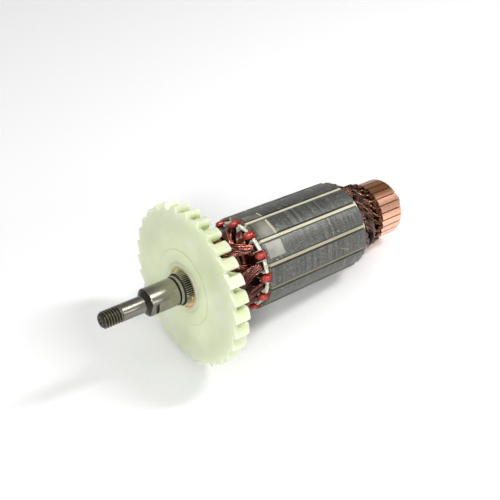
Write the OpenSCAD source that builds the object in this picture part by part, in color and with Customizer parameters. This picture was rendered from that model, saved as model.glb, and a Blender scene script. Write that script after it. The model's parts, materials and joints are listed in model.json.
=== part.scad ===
// Armature of a small universal motor: shaft, fan, slotted core, coils and commutator.
// Every piece is drawn upright, with the shaft along Z and its screw end at zero.
// lay_down() then turns the whole armature on its side, as it rests on a bench: on the two
// lowest teeth of the fan and the far edge of the core.
// An angle round the shaft is counted from the side that lies uppermost.

/* [Shaft] */
// Outer diameter of the screw thread at the pinion end
thread_d = 6; // [4:0.5:6]
// Length of the screw thread
thread_len = 7.2; // [5:0.2:12]
// Diameter of the plain seat for the pinion
pinion_seat_d = 6; // [6:0.5:8]
// Length of the plain seat for the pinion
pinion_seat_len = 8.6; // [6:0.2:14]
// Length of the cone between the pinion seat and the bearing seat
cone_len = 1.6; // [1:0.2:3]
// Diameter of the ground seat for the front bearing
bearing_seat_d = 10; // [9:0.5:11]
// Length of the seat for the front bearing
bearing_seat_len = 10.6; // [8:0.2:14]
// Length of the milled flat at the front of the bearing seat
flat_len = 2.2; // [1.5:0.1:4]
// Depth of the milled flat below the bearing seat
flat_depth = 0.9; // [0.3:0.1:1.5]
// Width of the grinding groove behind the bearing seat
groove_w = 0.7; // [0.4:0.1:1.2]
// Depth of the grinding groove
groove_depth = 0.25; // [0.1:0.05:0.4]
// Height of the collar above the bearing seat
collar_step = 0.3; // [0.2:0.1:0.5]
// Length of the collar that the bearing's inner ring stops against
collar_len = 1.2; // [0.8:0.1:3]
// Diameter over the straight knurl that carries the fan
knurl_d = 12; // [12:0.2:13]
// Depth of the knurl's grooves
knurl_depth = 0.35; // [0.15:0.05:0.5]
// Length of plain knurl in front of the fan
knurl_lead = 2.5; // [1.5:0.1:5]
// Diameter of the shaft inside the core
core_seat_d = 11; // [9:0.5:11.5]
// Diameter of the shaft inside the commutator
commutator_seat_d = 9.5; // [9:0.5:10.5]
// Diameter of the shoulder behind the commutator
rear_shoulder_d = 8.4; // [8.2:0.2:8.8]
// Length of the shoulder behind the commutator
rear_shoulder_len = 1.6; // [1:0.2:3]
// Diameter of the seat for the rear bearing
rear_seat_d = 7; // [6:0.5:8]
// Length of the seat for the rear bearing
rear_seat_len = 7; // [5:0.5:9]

/* [Fan] */
// Diameter over the tips of the fan's teeth
fan_d = 59.8; // [56:0.2:64]
// Number of blades
blade_count = 30; // [26:1:34]
// Depth of the teeth round the rim
tooth_depth = 2.1; // [1.4:0.1:3]
// Thickness of the fan's disc at the rim
disc_t = 1.6; // [1.2:0.1:2.4]
// Height of the blades behind the disc
blade_h = 4.4; // [3.4:0.2:6]
// Width of the channels between the blades behind the rim
channel_w = 1.7; // [1.2:0.1:2.2]
// Diameter of the circle where the blades start
blade_root_d = 40; // [34:1:44]
// Diameter of the raised hub plate in front
hub_plate_d = 27.9; // [24:0.3:32]
// Outer diameter of the lip round the bush
lip_d = 18.2; // [17:0.2:20]
// Diameter of the boss behind the disc
boss_d = 21; // [19:0.5:24]
// Length of the hub from its lip to the end of its boss
hub_len = 12.3; // [10:0.1:15]
// Outer diameter of the steel bush moulded into the hub
bush_d = 15; // [14:0.2:15.6]

/* [Core] */
// Outer diameter of the laminated core
core_d = 35.4; // [34:0.2:38]
// Length of the laminated core
core_len = 47.7; // [35:0.1:60]
// Width of the core's teeth
tooth_w = 3.3; // [3:0.05:3.4]
// Width of the slot openings in the core's surface
slot_open = 2.2; // [1.6:0.1:2.8]
// Thickness of the tooth tips beside the slot openings
tip_t = 1.1; // [0.9:0.1:1.3]
// Length of the three balancing cuts
cut_len = 7.4; // [5:0.2:10]
// Distance from the core's front face to the balancing cuts
cut_start = 0.9; // [0.5:0.1:3]

/* [Winding] */
// Length of the coil heads between the fan and the core
drive_head_len = 13.3; // [12.5:0.1:16]
// Length of the coil heads between the core and the commutator
rear_head_len = 9.5; // [9:0.1:12]
// Thickness of the slot liners
liner_t = 0.25; // [0.15:0.05:0.3]
// How far the slot liners stand out of the core's front face beside the coils
front_liner_out = 2; // [1.4:0.1:2.1]
// How far the slot liners stand out of the core's rear face beside the coils
rear_liner_out = 1.5; // [1.2:0.1:1.6]
// How far the slot wedges stand out of the core
wedge_out = 1.3; // [0.8:0.1:1.6]
// Height of the red noses on the front end insulator
front_nose_h = 3.7; // [3:0.1:4.2]
// Height of the red noses on the rear end insulator
rear_nose_h = 2.4; // [2:0.1:2.6]
// Diameter of the wires that join the coils to the commutator
lead_d = 0.8; // [0.5:0.05:0.85]

/* [Commutator] */
// Diameter of the commutator's running surface
commutator_d = 23.4; // [22.8:0.2:24.4]
// Length of the copper bars with their hooks
bar_len = 15.5; // [13:0.5:20]
// Height of the copper bars from back to running surface
bar_depth = 3.5; // [3:0.1:4]
// Width of the gaps between the bars
bar_gap = 0.45; // [0.4:0.05:0.8]
// Depth of the undercut between the bars
undercut = 0.7; // [0.4:0.1:1.2]
// Distance from the rear coil heads to the commutator's bars
commutator_gap = 3; // [2.6:0.1:5]
// Radius of the rounded outer end of the bars
bar_round = 0.8; // [0.4:0.1:1.2]

/* [Hidden] */
$fn = 96;
press_gap = 0.01; // between pieces pressed or moulded together
slip_gap = 0.05; // between pieces slid together

// Angles round the shaft
slot_count = 12;
slot_pitch = 360 / slot_count;
slot_angle = -3;
bar_count = 2 * slot_count;
bar_pitch = 360 / bar_count;
bar_angle = 5;
flat_angle = 100;

// Stations along the shaft, from the screw end
lip_edge = 0.3;
pinion_z = thread_len;
cone_z = pinion_z + pinion_seat_len;
seat_z = cone_z + cone_len;
groove_z = seat_z + bearing_seat_len;
collar_z = groove_z + groove_w;
knurl_z = collar_z + collar_len;
hub_z = knurl_z + knurl_lead - lip_edge;
plate_z = hub_z + 0.4;
rim_z = hub_z + 0.6;
disc_z = rim_z + disc_t;
fan_rear_z = disc_z + blade_h;
boss_z = hub_z + hub_len;
front_gap = 0.6;
moulding_lead = 1;
moulding_recess = 0.8;
thread_chamfer = 0.9;
thread_relief = 0.3;
rear_chamfer = 0.4;
core_z = boss_z + front_gap + drive_head_len;
core_end_z = core_z + core_len;
bar_z = core_end_z + rear_head_len + commutator_gap;
bar_end_z = bar_z + bar_len;
moulding_z = bar_z - moulding_lead;
moulding_end_z = bar_end_z - moulding_recess;
rear_seat_z = moulding_end_z + rear_shoulder_len + 1;
shaft_end_z = rear_seat_z + rear_seat_len;

// Fan
fan_r = fan_d / 2;
valley_r = fan_r - tooth_depth;
tooth_pitch = 360 / blade_count;
steep_angle = 1.8;
blade_sink = 0.5;
blade_proud = 0.15;
blade_len = valley_r - blade_root_d / 2;
corner = 1;
corner_z = fan_rear_z - corner;

// Bush: its front face lies behind the hub's lip
bush_edge = 0.3;
bush_z = hub_z + 0.7;
bush_end_z = boss_z - 0.5;
lock_w = 2;
lock_z = boss_z - 2;
lock_depth = 0.6;

// Core and slots
core_r = core_d / 2;
half_pitch = slot_pitch / 2;
slot_top_r = core_r - tip_t;
slot_shoulder = 0.5;
slot_root_r = 10.9;
slot_root_round = slot_root_r * sin(half_pitch) - tooth_w / 2;

// Wedge and liner
wedge_t = 0.75;
wedge_top_r = slot_top_r - slot_shoulder;
wedge_base_r = wedge_top_r - wedge_t;
wedge_sink = 0.35;
rib_back = 0.15;
liner_low = 0.6;
liner_step_r = slot_root_r + 2;

// End insulators
plate_t = 0.8;
tube_r = core_seat_d / 2 + 1;
nose_r = 1.2;
nose_place_r = core_r - 1.65;

// Coils: each is two bundles in two slots joined by a head at each end of the core
layer_count = slot_count / 2;
coil_span = 5;
deep_half = [1.2, 0.8];
shallow_half = [1.15, 1.45];
hug_half = 1.4;
deep_r = slot_root_r - slot_root_round + 2 * slip_gap + liner_t + deep_half[0] + 0.15;
shallow_r = wedge_base_r - slip_gap - shallow_half[0] - 0.1;
hug_r = tube_r + 0.15 + hug_half;
head_base = plate_t + 0.3;
head_steps = [0, 0.01, 0.03, 0.08, 0.17, 0.3, 0.5, 0.75, 1, 1.5, 2, 2.5,
    3, 3.5, 4, 4.25, 4.5, 4.7, 4.83, 4.92, 4.97, 4.99, 5];
bundle_sides = 8;
rise_power = 3.2;

// Commutator
commutator_r = commutator_d / 2;
bar_root_r = commutator_r - bar_depth;
tang_w = 1.7;
tang_t = 0.45;
tang_len = 3.3;
eye_h = 0.95;
eye_len = 1.9;

// Lying down: the two lowest teeth of the fan and the far edge of the core touch the ground
rest_run = core_end_z - corner_z;
rest_drop = fan_r * cos(180 / blade_count) - core_r;
tilt = atan(rest_drop / rest_run);
lift = core_end_z * sin(tilt) + core_r * cos(tilt);
face_r = thread_d / 2 - thread_chamfer;
rear_face_r = rear_seat_d / 2 - rear_chamfer;
low_x = -face_r * sin(tilt);
high_x = shaft_end_z * cos(tilt) + rear_face_r * sin(tilt);

// Turns the upright armature onto its side, resting on the ground and centred on the origin
module lay_down() {
    translate([-(low_x + high_x) / 2, 0, lift]) rotate([0, tilt, 0]) rotate([90, 0, 90]) children();
}

// Point at a radius and an angle round the shaft
function polar(r, angle) = [-r * sin(angle), r * cos(angle)];

// Smooth step from 0 to 1
function smooth(x) = let (t = max(0, min(1, x))) t * t * (3 - 2 * t);

// Turned solid from its outline, given as points of radius and station
module turned(points) {
    rotate_extrude() polygon(points);
}

// Shaft: turned bar with a milled flat, a straight knurl and a centre hole at each end
module shaft() {
    r_thread = thread_d / 2;
    r_pinion = pinion_seat_d / 2;
    r_seat = bearing_seat_d / 2;
    r_collar = r_seat + collar_step;
    r_knurl = knurl_d / 2;
    r_core = core_seat_d / 2;
    r_commutator = commutator_seat_d / 2;
    r_rear = rear_seat_d / 2;
    color("silver") lay_down() difference() {
        union() {
            turned([[0, 0], [face_r, 0], [r_thread, thread_chamfer],
                [r_thread, pinion_z - thread_relief - 0.2],
                [r_thread - thread_relief, pinion_z - 0.2], [r_thread - thread_relief, pinion_z],
                [r_pinion - 0.2, pinion_z],
                [r_pinion, pinion_z + 0.2], [r_pinion, cone_z], [r_seat - 0.2, seat_z - 0.2],
                [r_seat, seat_z], [r_seat, groove_z], [r_seat - groove_depth, groove_z],
                [r_seat - groove_depth, collar_z], [r_collar - 0.15, collar_z],
                [r_collar, collar_z + 0.15], [r_collar, knurl_z - 0.25], [r_collar - 0.2, knurl_z],
                [r_collar - 0.2, boss_z], [r_core, boss_z], [r_core, core_end_z],
                [r_commutator, core_end_z], [r_commutator, moulding_end_z],
                [rear_shoulder_d / 2, moulding_end_z], [rear_shoulder_d / 2, rear_seat_z],
                [r_rear, rear_seat_z], [r_rear, shaft_end_z - rear_chamfer], [rear_face_r, shaft_end_z],
                [0, shaft_end_z]]);
            intersection() {
                translate([0, 0, knurl_z]) linear_extrude(boss_z - knurl_z) knurl_outline(r_knurl);
                turned([[0, knurl_z], [r_knurl - 0.5, knurl_z], [r_knurl + 0.1, knurl_z + 0.6],
                    [r_knurl + 0.1, boss_z], [0, boss_z]]);
            }
        }
        // Milled flat at the front of the bearing seat
        rotate([0, 0, flat_angle]) translate([-r_seat, r_seat - flat_depth, cone_z])
            cube([2 * r_seat, r_seat, cone_len + flat_len]);
        // Centre holes
        translate([0, 0, -0.01]) cylinder(r1 = 1.1, r2 = 0.5, h = 1.2);
        translate([0, 0, shaft_end_z - 1.19]) cylinder(r1 = 0.5, r2 = 1.1, h = 1.2);
    }
}

// Outline of a straight knurl
module knurl_outline(r) {
    ridges = 48;
    polygon([for (i = [0 : ridges - 1], side = [0, 1])
        polar(r - side * knurl_depth, (i + side / 2) * 360 / ridges)]);
}

// Outside of the bush from front to rear, with the groove that locks it in the hub
function bush_side(r) = [[r - bush_edge, bush_z], [r, bush_z + bush_edge], [r, lock_z - lock_w / 2],
    [r - lock_depth, lock_z - lock_w / 4], [r - lock_depth, lock_z + lock_w / 4],
    [r, lock_z + lock_w / 2]];

// Steel bush moulded into the fan and pressed onto the knurl
module fan_bush() {
    inner = knurl_d / 2 + press_gap;
    outer = bush_d / 2;
    color("darkkhaki") lay_down()
        turned(concat([[inner, bush_z]], bush_side(outer), [[outer, bush_end_z], [inner, bush_end_z]]));
}

// Fan: one nylon moulding with a smooth disc in front and curved blades behind it
module fan() {
    color("honeydew") lay_down() intersection() {
        linear_extrude(boss_z + 1) saw_outline();
        union() {
            fan_disc();
            intersection() {
                translate([0, 0, disc_z - blade_sink]) linear_extrude(blade_h + blade_sink)
                    for (i = [0 : blade_count - 1]) rotate(180 + (i + 0.5) * tooth_pitch) blade_outline();
                // Softened outer corner at the rear of the blades
                turned([[0, 0], [fan_r + 0.3 * corner, 0], [fan_r + 0.3 * corner, corner_z - 0.7 * corner],
                    [fan_r - 0.3 * corner, corner_z + 0.7 * corner], [fan_r - corner, fan_rear_z],
                    [0, fan_rear_z]]);
            }
        }
    }
}

// Rim of the fan: each tooth falls steeply behind its tip and rises slowly to the next one
module saw_outline() {
    flank = tooth_pitch - steep_angle;
    polygon([for (i = [0 : blade_count - 1])
        let (tip = 180 + (i + 0.5) * tooth_pitch)
        for (step = [0 : 4])
            step == 0 ? polar(fan_r, tip)
            : let (t = (step - 1) / 4)
                polar(valley_r + tooth_depth * pow(t, 1.3), tip + steep_angle + flank * t)]);
}

// Disc and hub before the rim's teeth are cut
module fan_disc() {
    bush_r = bush_d / 2 + press_gap;
    lip_r = lip_d / 2;
    plate_r = hub_plate_d / 2;
    lip_inner_r = bush_r - 0.3;
    boss_r = boss_d / 2;
    // Disc and hub
    rotate_extrude() difference() {
        polygon([[lip_inner_r, hub_z + lip_edge], [lip_inner_r + lip_edge, hub_z], [lip_r - 0.5, hub_z],
            [lip_r - 0.15, hub_z + 0.15], [lip_r, hub_z + 0.4], [lip_r + 0.1, plate_z],
            [plate_r, plate_z], [plate_r, plate_z + 0.12], [fan_r - 0.4, rim_z], [fan_r, rim_z + 0.3],
            [fan_r, disc_z], [boss_r + 2, disc_z + 0.4], [boss_r, disc_z + 2], [boss_r - 0.5, boss_z - 0.4],
            [boss_r - 0.9, boss_z], [lip_inner_r, boss_z]]);
        // Seat of the bush
        polygon(concat([[0, bush_z]], bush_side(bush_r), [[bush_r, boss_z + 1], [0, boss_z + 1]]));
    }
}

// Angle behind its tip of a blade's hollow side, at a share of the way in from the rim
function hollow_side(share) = 1.3 - 9.3 * pow(share, 1.8);

// Angle of the channel in front of a blade, at a share of the way in from the rim
function channel_angle(share) =
    (channel_w + 0.9 * share * share) / (valley_r - blade_len * share) * 180 / PI;

// One blade: thick at the rim, thin at its root and swept back. Its outer face stands a little
// proud, and the rim's teeth cut it to their shape.
module blade_outline() {
    shares = [for (k = [0 : 4]) k / 4];
    hollow = [for (k = shares) polar(valley_r - blade_len * k, hollow_side(k))];
    rounded = [for (k = [4 : -1 : 0])
        let (share = shares[k])
        polar(valley_r - blade_len * share, hollow_side(share) + channel_angle(share) - tooth_pitch)];
    shoulder = hollow_side(0) + channel_angle(0) - tooth_pitch;
    polygon(concat(
        [polar(fan_r + blade_proud, 0.95)], hollow, rounded,
        [polar(valley_r + 0.4, shoulder + 0.5), polar(valley_r + 0.9, shoulder + 1.2),
            polar(fan_r + blade_proud, shoulder + 1.8)]));
}

// Outline of a slot drawn along Y, shrunk on all sides by an inset
module slot_outline(inset, top) {
    reach = tooth_w / 2 + inset;
    round_r = slot_root_round - inset;
    low = slot_root_r - round_r * sin(half_pitch);
    wide = top * tan(half_pitch) - reach / cos(half_pitch);
    narrow = round_r * cos(half_pitch);
    polygon([[-narrow, low], [narrow, low], [wide, top], [-wide, top]]);
    translate([0, slot_root_r]) circle(round_r);
}

// The same outline turned to every slot of the core
module at_slots() {
    for (i = [0 : slot_count - 1]) rotate(slot_angle + i * slot_pitch) children();
}

// Core: a stack of punched sheets with semi-closed slots and three balancing cuts
module core() {
    shoulder = slot_top_r - slot_shoulder;
    shoulder_half = shoulder * tan(half_pitch) - tooth_w / 2 / cos(half_pitch);
    color("gray") lay_down() difference() {
        translate([0, 0, core_z]) linear_extrude(core_len) difference() {
            circle(core_r);
            circle(core_seat_d / 2 + press_gap);
            at_slots() {
                slot_outline(0, shoulder);
                polygon([[-shoulder_half, shoulder], [-slot_open / 2, slot_top_r],
                    [-slot_open / 2, core_r + 1], [slot_open / 2, core_r + 1],
                    [slot_open / 2, slot_top_r], [shoulder_half, shoulder]]);
            }
        }
        balance_cut(12, core_r - 0.95, 9);
        balance_cut(40.5, core_r - 0.45, 5.6);
        balance_cut(-10, core_r - 0.25, 3.2);
    }
}

// Flat-bottomed cut in the core at an angle, down to a floor
module balance_cut(angle, floor_r, width) {
    rotate(angle) translate([-width / 2, floor_r, core_z + cut_start]) cube([width, core_r, cut_len]);
}

// End insulator: a star plate on the core's face with a nose on each tooth, and a tube along
// the shaft that the coil heads lie against. It is drawn with the core below it.
module end_insulator(nose_h, tube_len) {
    difference() {
        union() {
            linear_extrude(plate_t) difference() {
                circle(core_r - 0.5);
                at_slots() {
                    slot_outline(-slip_gap, core_r + 1);
                    translate([-slot_open, slot_top_r - 1]) square([2 * slot_open, tip_t + 2]);
                }
            }
            cylinder(r = tube_r, h = tube_len);
            for (i = [0 : slot_count - 1]) rotate(slot_angle + (i + 0.5) * slot_pitch)
                translate([0, nose_place_r, 0]) rotate_extrude() intersection() {
                    square([nose_r, nose_h]);
                    union() {
                        square([nose_r, nose_h - nose_r]);
                        translate([0, nose_h - nose_r]) circle(nose_r);
                    }
                }
        }
        translate([0, 0, -1]) cylinder(r = core_seat_d / 2 + press_gap, h = tube_len + 2);
    }
}

module front_insulator() {
    color("firebrick") lay_down() translate([0, 0, core_z]) mirror([0, 0, 1])
        end_insulator(front_nose_h, drive_head_len + front_gap / 2);
}

module rear_insulator() {
    color("firebrick") lay_down() translate([0, 0, core_end_z]) end_insulator(rear_nose_h, rear_head_len);
}

// Slot liners: twelve folded paper channels, longer beside the coils than at the slot's root
module slot_liners() {
    color("ivory") lay_down() difference() {
        translate([0, 0, core_z - front_liner_out])
            linear_extrude(core_len + front_liner_out + rear_liner_out)
            at_slots() difference() {
                slot_outline(slip_gap, wedge_base_r - slip_gap);
                slot_outline(slip_gap + liner_t, wedge_base_r + 1);
            }
        translate([0, 0, core_z - front_liner_out - 1])
            cylinder(r = liner_step_r, h = front_liner_out - liner_low + 1);
        translate([0, 0, core_end_z + liner_low]) cylinder(r = liner_step_r, h = rear_liner_out);
    }
}

// Slot wedge: a strip that closes one slot, with a rib that fills the slot's opening
module wedge(i) {
    base = wedge_base_r + slip_gap;
    top = wedge_top_r - slip_gap;
    low_half = base * tan(half_pitch) - tooth_w / 2 / cos(half_pitch) - 2 * slip_gap;
    high_half = top * tan(half_pitch) - tooth_w / 2 / cos(half_pitch) - 2 * slip_gap;
    rib_half = slot_open / 2 - 0.15;
    crest = core_r - wedge_sink;
    color("lemonchiffon") lay_down() rotate(slot_angle + (i - 1) * slot_pitch) {
        translate([0, 0, core_z - wedge_out]) linear_extrude(core_len + 2 * wedge_out)
            polygon([[-low_half, base], [low_half, base], [high_half, top], [-high_half, top]]);
        translate([0, 0, core_z + rib_back]) linear_extrude(core_len - 2 * rib_back)
            polygon([[-rib_half, base + wedge_t / 2], [rib_half, base + wedge_t / 2],
                [rib_half, crest - 0.3], [rib_half / 2, crest], [-rib_half / 2, crest],
                [-rib_half, crest - 0.3]]);
    }
}

// Rise of a bundle out of its slot: steep at first, level once x reaches 1
function rise(x) = x >= 1 ? 1 : pow(1 - pow(1 - x, rise_power), 1 / rise_power);

// One station of a coil head: radius, angle, height above the core, and the bundle's half sizes.
// Coils are wound in opposite pairs, so coil 1 and coil 7 share the lowest layer. u counts slots
// along the head, from the coil's first slot to its second.
function head_station(i, u, head_len) =
    let (
        layer = (i - 1) % layer_count,
        pitch = (head_len - head_base) / layer_count,
        first_deep = layer < layer_count - 1,
        last_deep = layer == 0,
        first_w = first_deep ? 0.75 : 2.2,
        last_w = last_deep ? 0.75 : layer == 1 ? 1.4 : layer == 2 ? 2 : 2.4,
        first = 1 - smooth(u / first_w),
        last = 1 - smooth((coil_span - u) / last_w),
        first_r = first_deep ? deep_r : shallow_r,
        last_r = last_deep ? deep_r : shallow_r,
        first_half = first_deep ? deep_half : shallow_half,
        last_half = last_deep ? deep_half : shallow_half,
        level_half = [hug_half, pitch / 2 - 0.04],
        first_shape = 1 - smooth(u),
        last_shape = 1 - smooth(coil_span - u)
    )
    [
        hug_r + (first_r - hug_r) * first + (last_r - hug_r) * last,
        coil_angle(i, u),
        (head_base + pitch * (layer + 0.5)) * rise(u / 0.5) * rise((coil_span - u) / 0.5),
        level_half + (first_half - level_half) * first_shape + (last_half - level_half) * last_shape
    ];

// Angle of a coil's bundle, u slots on from its first slot
function coil_angle(i, u) = slot_angle + slot_pitch * (6 - (i - 1) - u);

// Stations of a whole coil as a closed loop: front head, second slot, rear head, first slot
function coil_loop(i) = concat(
    [for (u = head_steps) let (s = head_station(i, u, drive_head_len))
        [s[0], s[1], core_z - s[2], s[3]]],
    [for (k = [len(head_steps) - 1 : -1 : 0]) let (s = head_station(i, head_steps[k], rear_head_len))
        [s[0], s[1], core_end_z + s[2], s[3]]]
);

// Closed tube through a loop of stations, flat sides facing the shaft
module bundle_loop(stations) {
    count = len(stations);
    centres = [for (s = stations) let (p = polar(s[0], s[1])) [p[0], p[1], s[2]]];
    points = [for (k = [0 : count - 1])
        let (
            run = centres[(k + 1) % count] - centres[(k + count - 1) % count],
            along = run / norm(run),
            out = polar(1, stations[k][1]),
            radial = [out[0], out[1], 0],
            side = cross(along, radial),
            across = side / norm(side),
            outward = cross(across, along),
            half = stations[k][3] / cos(180 / bundle_sides)
        )
        for (c = [0 : bundle_sides - 1])
            let (a = (c + 0.5) * 360 / bundle_sides)
            centres[k] + half[0] * cos(a) * outward + half[1] * sin(a) * across];
    faces = [for (k = [0 : count - 1], c = [0 : bundle_sides - 1], half = [0, 1])
        let (
            n = (k + 1) % count * bundle_sides,
            m = k * bundle_sides,
            d = (c + 1) % bundle_sides
        )
        half == 0 ? [m + c, m + d, n + d] : [m + c, n + d, n + c]];
    polyhedron(points, faces, convexity = 6);
}

module coil(i) {
    color("saddlebrown") lay_down() bundle_loop(coil_loop(i));
}

// Commutator moulding: the insulating body that holds the bars, with a fin between each two
module commutator_moulding() {
    inner = commutator_seat_d / 2 + press_gap;
    root = bar_root_r - press_gap;
    fin_half = bar_gap / 2 - press_gap;
    color("dimgray") lay_down() {
        turned([[inner, moulding_z], [root + 1, moulding_z], [root + 1.6, moulding_z + 0.4],
            [root + 1.6, bar_z - press_gap], [root, bar_z - press_gap], [root, moulding_end_z],
            [inner, moulding_end_z]]);
        for (i = [0 : bar_count - 1]) rotate(bar_angle + (i + 0.5) * bar_pitch)
            translate([-fin_half, root - 0.2, bar_z - 0.1])
                cube([2 * fin_half, commutator_r - undercut - root + 0.2, bar_len - moulding_recess + 0.2]);
    }
}

// Commutator bar: a copper segment with a hook at its inner end that grips the coil wires
module bar(i) {
    half = bar_pitch / 2;
    reach = commutator_r + 3;
    spread = reach * tan(half);
    offset_r = bar_gap / 2 / sin(half);
    color("peru") lay_down() rotate(bar_angle + (i - 1) * bar_pitch) {
        intersection() {
            rotate_extrude() {
                translate([bar_root_r, bar_z]) square([bar_depth, bar_len - bar_round]);
                translate([bar_root_r, bar_z]) square([bar_depth - bar_round, bar_len]);
                translate([commutator_r - bar_round, bar_end_z - bar_round]) circle(bar_round);
            }
            translate([0, 0, bar_z - 1]) linear_extrude(bar_len + 2)
                polygon([[0, offset_r], [-spread, offset_r + reach], [spread, offset_r + reach]]);
        }
        tang();
    }
}

// Hook of a bar: it rises at the inner end, folds over the wires and comes down on the bar
module tang() {
    foot = commutator_r - 0.6;
    eye = commutator_r + eye_h;
    crown = eye + tang_t;
    rotate([90, 0, 90]) translate([0, 0, -tang_w / 2]) linear_extrude(tang_w) difference() {
        polygon([[foot, bar_z], [crown - 0.3, bar_z], [crown, bar_z + 0.4], [crown, bar_z + tang_len - 0.8],
            [commutator_r + 0.1, bar_z + tang_len], [foot, bar_z + tang_len]]);
        translate([commutator_r, bar_z + 0.7]) square([eye_h, eye_len]);
    }
}

// Wires from the slots to the hooks, two from each slot, each ending in the eye of its hook
module coil_leads() {
    color("sienna") lay_down() for (i = [0 : bar_count - 1]) lead(i);
}

function lead_station(i, h) =
    let (
        start_h = 3,
        end_h = rear_head_len + commutator_gap + 0.4,
        start_r = shallow_r + shallow_half[0] + 0.12 + lead_d / 2,
        end_r = commutator_r + eye_h / 2,
        start_angle = slot_angle + slot_pitch * (floor(i / 2) - 1) + (i % 2 == 0 ? -4 : 4),
        end_angle = bar_angle + bar_pitch * (i - 0.5),
        drop = smooth((h - rear_head_len + 0.3) / (commutator_gap + 0.1)),
        turn = min(1, (h - start_h) / (end_h - start_h))
    )
    [start_r + (end_r - start_r) * drop, start_angle + (end_angle - start_angle) * turn, core_end_z + h];

module lead(i) {
    sides = 6;
    hook_h = rear_head_len + commutator_gap;
    eye_r = commutator_r + eye_h / 2;
    hook_angle = bar_angle + bar_pitch * i;
    stations = concat(
        [for (h = [3, 6, rear_head_len, rear_head_len + commutator_gap * 0.3,
            rear_head_len + commutator_gap * 0.6, hook_h, hook_h + 0.5]) lead_station(i, h)],
        [[eye_r, hook_angle - 6, core_end_z + hook_h + 1.2],
            [eye_r, hook_angle - 3.5, core_end_z + hook_h + 1.65],
            [eye_r, hook_angle + 2, core_end_z + hook_h + 1.65]]
    );
    count = len(stations);
    centres = [for (s = stations) let (p = polar(s[0], s[1])) [p[0], p[1], s[2]]];
    points = [for (k = [0 : count - 1])
        let (
            run = centres[min(k + 1, count - 1)] - centres[max(k - 1, 0)],
            along = run / norm(run),
            out = polar(1, stations[k][1]),
            side = cross(along, [out[0], out[1], 0]),
            across = side / norm(side),
            outward = cross(across, along)
        )
        for (c = [0 : sides - 1])
            let (a = c * 360 / sides)
            centres[k] + lead_d / 2 * (cos(a) * outward + sin(a) * across)];
    faces = concat(
        [[for (c = [0 : sides - 1]) sides - 1 - c]],
        [for (k = [0 : count - 2], c = [0 : sides - 1], half = [0, 1])
            let (
                n = (k + 1) * sides,
                m = k * sides,
                d = (c + 1) % sides
            )
            half == 0 ? [m + c, m + d, n + d] : [m + c, n + d, n + c]],
        [[for (c = [0 : sides - 1]) (count - 1) * sides + c]]
    );
    polyhedron(points, faces, convexity = 4);
}

shaft();
fan_bush();
fan();
core();
front_insulator();
rear_insulator();
slot_liners();
for (i = [1 : slot_count]) {
    wedge(i);
    coil(i);
}
commutator_moulding();
for (i = [1 : bar_count]) {
    bar(i);
}
coil_leads();
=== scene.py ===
import json
import math

import bpy
import numpy as np
from mathutils import Matrix, Vector


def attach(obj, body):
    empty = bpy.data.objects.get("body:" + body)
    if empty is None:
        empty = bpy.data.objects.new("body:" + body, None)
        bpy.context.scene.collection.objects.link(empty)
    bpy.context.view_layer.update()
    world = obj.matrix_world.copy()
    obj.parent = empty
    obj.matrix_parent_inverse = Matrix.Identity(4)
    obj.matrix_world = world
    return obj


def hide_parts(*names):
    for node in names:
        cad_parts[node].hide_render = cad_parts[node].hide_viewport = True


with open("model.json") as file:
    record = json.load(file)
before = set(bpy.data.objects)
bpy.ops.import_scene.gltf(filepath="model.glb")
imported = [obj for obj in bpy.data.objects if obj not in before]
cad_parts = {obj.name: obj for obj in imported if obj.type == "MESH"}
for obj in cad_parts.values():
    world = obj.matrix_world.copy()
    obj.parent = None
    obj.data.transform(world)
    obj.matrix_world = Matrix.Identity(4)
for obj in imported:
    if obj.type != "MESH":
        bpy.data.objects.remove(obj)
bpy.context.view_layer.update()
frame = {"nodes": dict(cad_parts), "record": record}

# Camera. It stands above the screw end and to its left, at the photograph's angle, and its lens
# has the photograph's field of view. It isn't part of the object.
camera_place = (-0.12930, -0.15243, 0.22162)
view_forward = Vector((0.4419, 0.5584, -0.7021)).normalized()
view_up = Vector((0.7813, -0.6242, -0.0047)).cross(view_forward).normalized()
view_right = view_forward.cross(view_up)
view_turn = Matrix((view_right, view_up, -view_forward)).transposed().to_4x4()
camera = bpy.data.objects.new("camera", bpy.data.cameras.new("camera"))
bpy.context.collection.objects.link(camera)
camera.data.sensor_width = 36
camera.data.lens = 54
camera.matrix_world = Matrix.Translation(camera_place) @ view_turn
bpy.context.scene.camera = camera

# Studio. A pale paper sweep lies under the armature and curves up round it, with broad soft
# lamps above and a white room beyond. They are fixed to nothing and aren't part of the object.
room_strength = 0.26
cells, half_sheet, level_to, climb, below_floor = 32, 1.6, 0.8, 0.9, 0.00005
bpy.context.scene.view_settings.view_transform = "Standard"
bpy.context.scene.view_settings.look = "None"
room = bpy.data.worlds.new("room")
bpy.context.scene.world = room
room.use_nodes = True
room.node_tree.nodes["Background"].inputs["Color"].default_value = (1, 1, 1, 1)
room.node_tree.nodes["Background"].inputs["Strength"].default_value = room_strength


def lamp(name, place, aim, width, height, power):
    """A flat rectangular lamp at one point, turned towards another."""
    light = bpy.data.lights.new(name, "AREA")
    light.shape = "RECTANGLE"
    light.size = width
    light.size_y = height
    light.energy = power
    holder = bpy.data.objects.new(name, light)
    bpy.context.collection.objects.link(holder)
    turn = (Vector(aim) - Vector(place)).to_track_quat("-Z", "Y").to_matrix().to_4x4()
    holder.matrix_world = Matrix.Translation(place) @ turn


lamp("ceiling_lamp", (-0.1, 0.2, 1.1), aim=(0, 0, 0), width=1.2, height=1.2, power=4.2)
lamp("long_lamp", (0.30, -0.16, 0.46), aim=(0, 0, 0.02), width=0.05, height=0.20, power=1.5)
lamp("side_lamp", (0.30, -0.52, 0.22), aim=(0, 0, 0.03), width=0.10, height=0.10, power=0.5)
lamp("front_lamp", (-0.34, -0.32, 0.42), aim=(0, 0, 0.03), width=0.12, height=0.12, power=1.35)


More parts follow.
